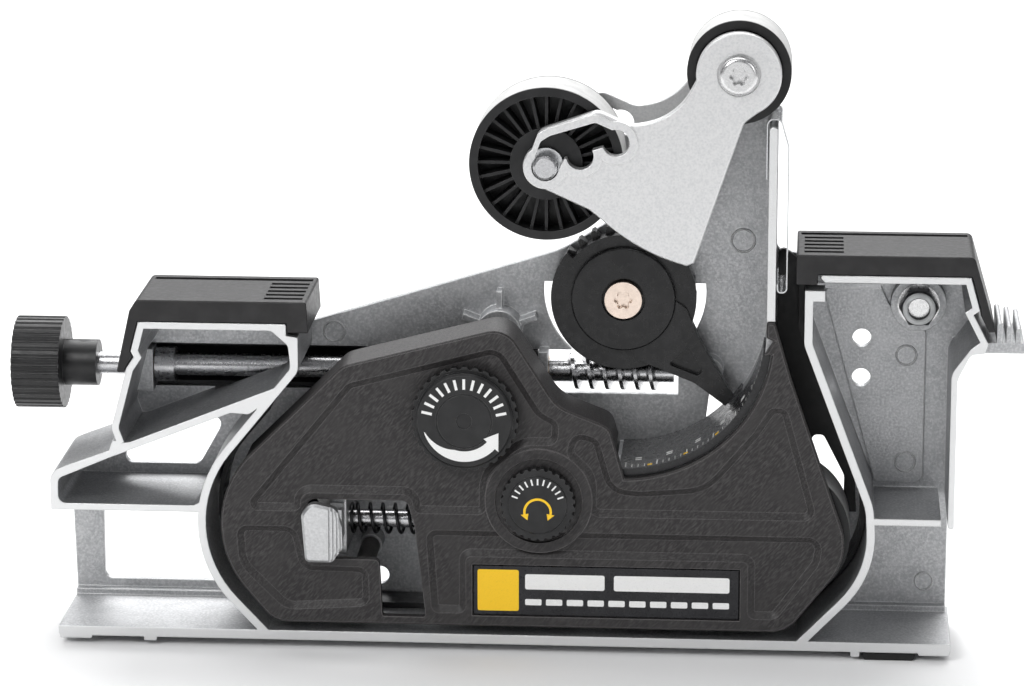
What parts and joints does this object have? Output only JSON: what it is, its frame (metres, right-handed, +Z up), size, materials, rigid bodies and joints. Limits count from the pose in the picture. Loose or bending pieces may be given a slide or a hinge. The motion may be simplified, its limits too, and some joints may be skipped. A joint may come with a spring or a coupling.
{
  "type": "belt sharpening head",
  "caption": "Die-cast belt sharpening and honing stand with rest pads, a worm-driven swing arm that sets the belt angle, sprung belt tension, a tracking knob and a platen spring.",
  "frame": {"origin": "centre of the footprint of the whole part's bounding box, on the plane that the feet stand on", "axes": "+X towards the right rest pad, along the worm shaft; +Y to the back; +Z up"},
  "size_m": [0.3846, 0.0706, 0.2425],
  "materials": {
    "cast_aluminium": "bead-blasted die casting",
    "arm_aluminium": "fine-textured die casting, flat faces linished",
    "pad_plastic": "moulded nylon, fine texture",
    "cover_plastic": "coarse spark-eroded texture",
    "black_plastic": "moulded, satin",
    "knob_plastic": "moulded, satin",
    "foot_rubber": "moulded rubber",
    "tire_rubber": "light grey rubber",
    "zinc_steel": "bright zinc plate",
    "steel": "ground",
    "spring_steel": "rolled strip, polished",
    "black_wire": "black-oiled spring wire",
    "copper_screw": "copper-tinted plating",
    "lever_zinc": "die cast, tumbled",
    "bearing_steel": "ground",
    "bush_bronze": "sintered bronze",
    "label_film": "printed film",
    "scale_plastic": "printed strip"
  },
  "bodies": {
    "stand": {"main_frame": "cast_aluminium", "left_table_pad": "pad_plastic", "right_table_pad": "pad_plastic", "left_foot": "foot_rubber", "right_foot": "foot_rubber", "front_cover": "cover_plastic", "label_plate": "label_film", "cover_pins": "steel", "belt_shroud": "black_plastic", "platen_spring": "spring_steel", "angle_scale": "scale_plastic", "shaft_channel_cover": "black_plastic", "channel_screws": "zinc_steel", "shaft_bushes": "bush_bronze", "gear_pivot_sleeve": "steel", "gear_pivot_screw": "copper_screw", "top_axle_bolt": "zinc_steel", "top_axle_nut": "zinc_steel", "top_axle_spacers": "steel", "drive_bearings": "bearing_steel", "bearing_retainer": "steel", "retainer_screws": "zinc_steel", "tracking_pivot_pins": "steel", "tighten_washer": "steel", "side_bolt": "zinc_steel", "side_washer": "zinc_steel", "side_nut": "black_wire"},
    "angle_drive": {"angle_knob": "knob_plastic", "worm_shaft": "steel", "knob_set_screw": "black_wire", "shaft_collar": "steel"},
    "gear": {"angle_gear": "black_plastic"},
    "arm": {"swing_arm": "arm_aluminium"},
    "idler_carrier": {"idler_axle": "steel", "idler_clips": "spring_steel"},
    "idler": {"idler_core": "black_plastic", "idler_tire": "tire_rubber", "idler_bearings": "bearing_steel"},
    "top_pulley": {"top_pulley_core": "black_plastic", "top_pulley_tire": "tire_rubber", "top_pulley_bearings": "bearing_steel"},
    "drive_roller": {"drive_roller_core": "black_plastic", "drive_roller_tire": "tire_rubber", "drive_shaft": "steel", "drive_roller_screw": "zinc_steel"},
    "yoke": {"tracking_yoke": "lever_zinc", "tension_spring": "black_wire"},
    "tension_carrier": {"tension_bracket": "lever_zinc", "tension_rod": "steel", "tension_axle": "steel", "thumb_lever": "lever_zinc"},
    "tension_roller": {"tension_roller_core": "black_plastic", "tension_roller_tire": "tire_rubber", "tension_roller_bearings": "bearing_steel"},
    "tracking_control": {"tracking_knob": "knob_plastic", "tracking_screw": "steel"},
    "tighten_control": {"tighten_knob": "knob_plastic", "tighten_stud": "steel"}
  },
  "joints": [
    {"name": "angle_knob_turn", "type": "hinge", "parent": "stand", "child": "angle_drive", "pos_m": [-0.183, 0.01765, 0.0993], "axis": [1, 0, 0], "range_deg": [0, 1080]},
    {"name": "angle_gear_turn", "type": "hinge", "parent": "stand", "child": "gear", "pos_m": [0.042, 0.01065, 0.131], "axis": [0, 1, 0], "range_deg": [0, 38.57]},
    {"name": "swing_arm_pivot", "type": "hinge", "parent": "stand", "child": "arm", "pos_m": [0.0851, -0.00735, 0.2233], "axis": [0, 1, 0], "range_deg": [-13.22, 0]},
    {"name": "idler_lift", "type": "slide", "parent": "arm", "child": "idler_carrier", "axis": [0.3697, 0, 0.9292], "range_m": [0, 0.006]},
    {"name": "idler_spin", "type": "hinge", "parent": "idler_carrier", "child": "idler", "pos_m": [0.0143, -0.01035, 0.1881], "axis": [0, 1, 0], "continuous": true},
    {"name": "top_pulley_spin", "type": "hinge", "parent": "stand", "child": "top_pulley", "pos_m": [0.0851, -0.01035, 0.2233], "axis": [0, 1, 0], "continuous": true},
    {"name": "drive_roller_spin", "type": "hinge", "parent": "stand", "child": "drive_roller", "pos_m": [0.1028, -0.01035, 0.0472], "axis": [0, 1, 0], "continuous": true},
    {"name": "tracking_knob_turn", "type": "hinge", "parent": "stand", "child": "tracking_control", "pos_m": [0.0121, -0.02735, 0.0604], "axis": [0, 1, 0], "range_deg": [-360, 360]},
    {"name": "tracking_yoke_tilt", "type": "hinge", "parent": "stand", "child": "yoke", "pos_m": [-0.024, -0.01035, 0.047], "axis": [0, 0, 1], "range_deg": [-1.11, 1.11]},
    {"name": "tension_slide", "type": "slide", "parent": "yoke", "child": "tension_carrier", "axis": [1, 0, 0], "range_m": [0, 0.012], "stiffness_N_per_m": 600, "springref_m": -0.02, "deforming": ["tension_spring"]},
    {"name": "tension_roller_spin", "type": "hinge", "parent": "tension_carrier", "child": "tension_roller", "pos_m": [-0.0884, -0.01035, 0.0472], "axis": [0, 1, 0], "continuous": true},
    {"name": "tighten_knob_turn", "type": "hinge", "parent": "stand", "child": "tighten_control", "pos_m": [-0.0154, -0.02735, 0.0926], "axis": [0, 1, 0], "range_deg": [0, 720]}
  ],
  "couplings": [
    {"joint": "angle_gear_turn", "follows": "angle_knob_turn", "ratio": 0.035714},
    {"joint": "swing_arm_pivot", "follows": "angle_knob_turn", "ratio": -0.01224},
    {"joint": "tracking_yoke_tilt", "follows": "tracking_knob_turn", "ratio": -0.0030862}
  ]
}
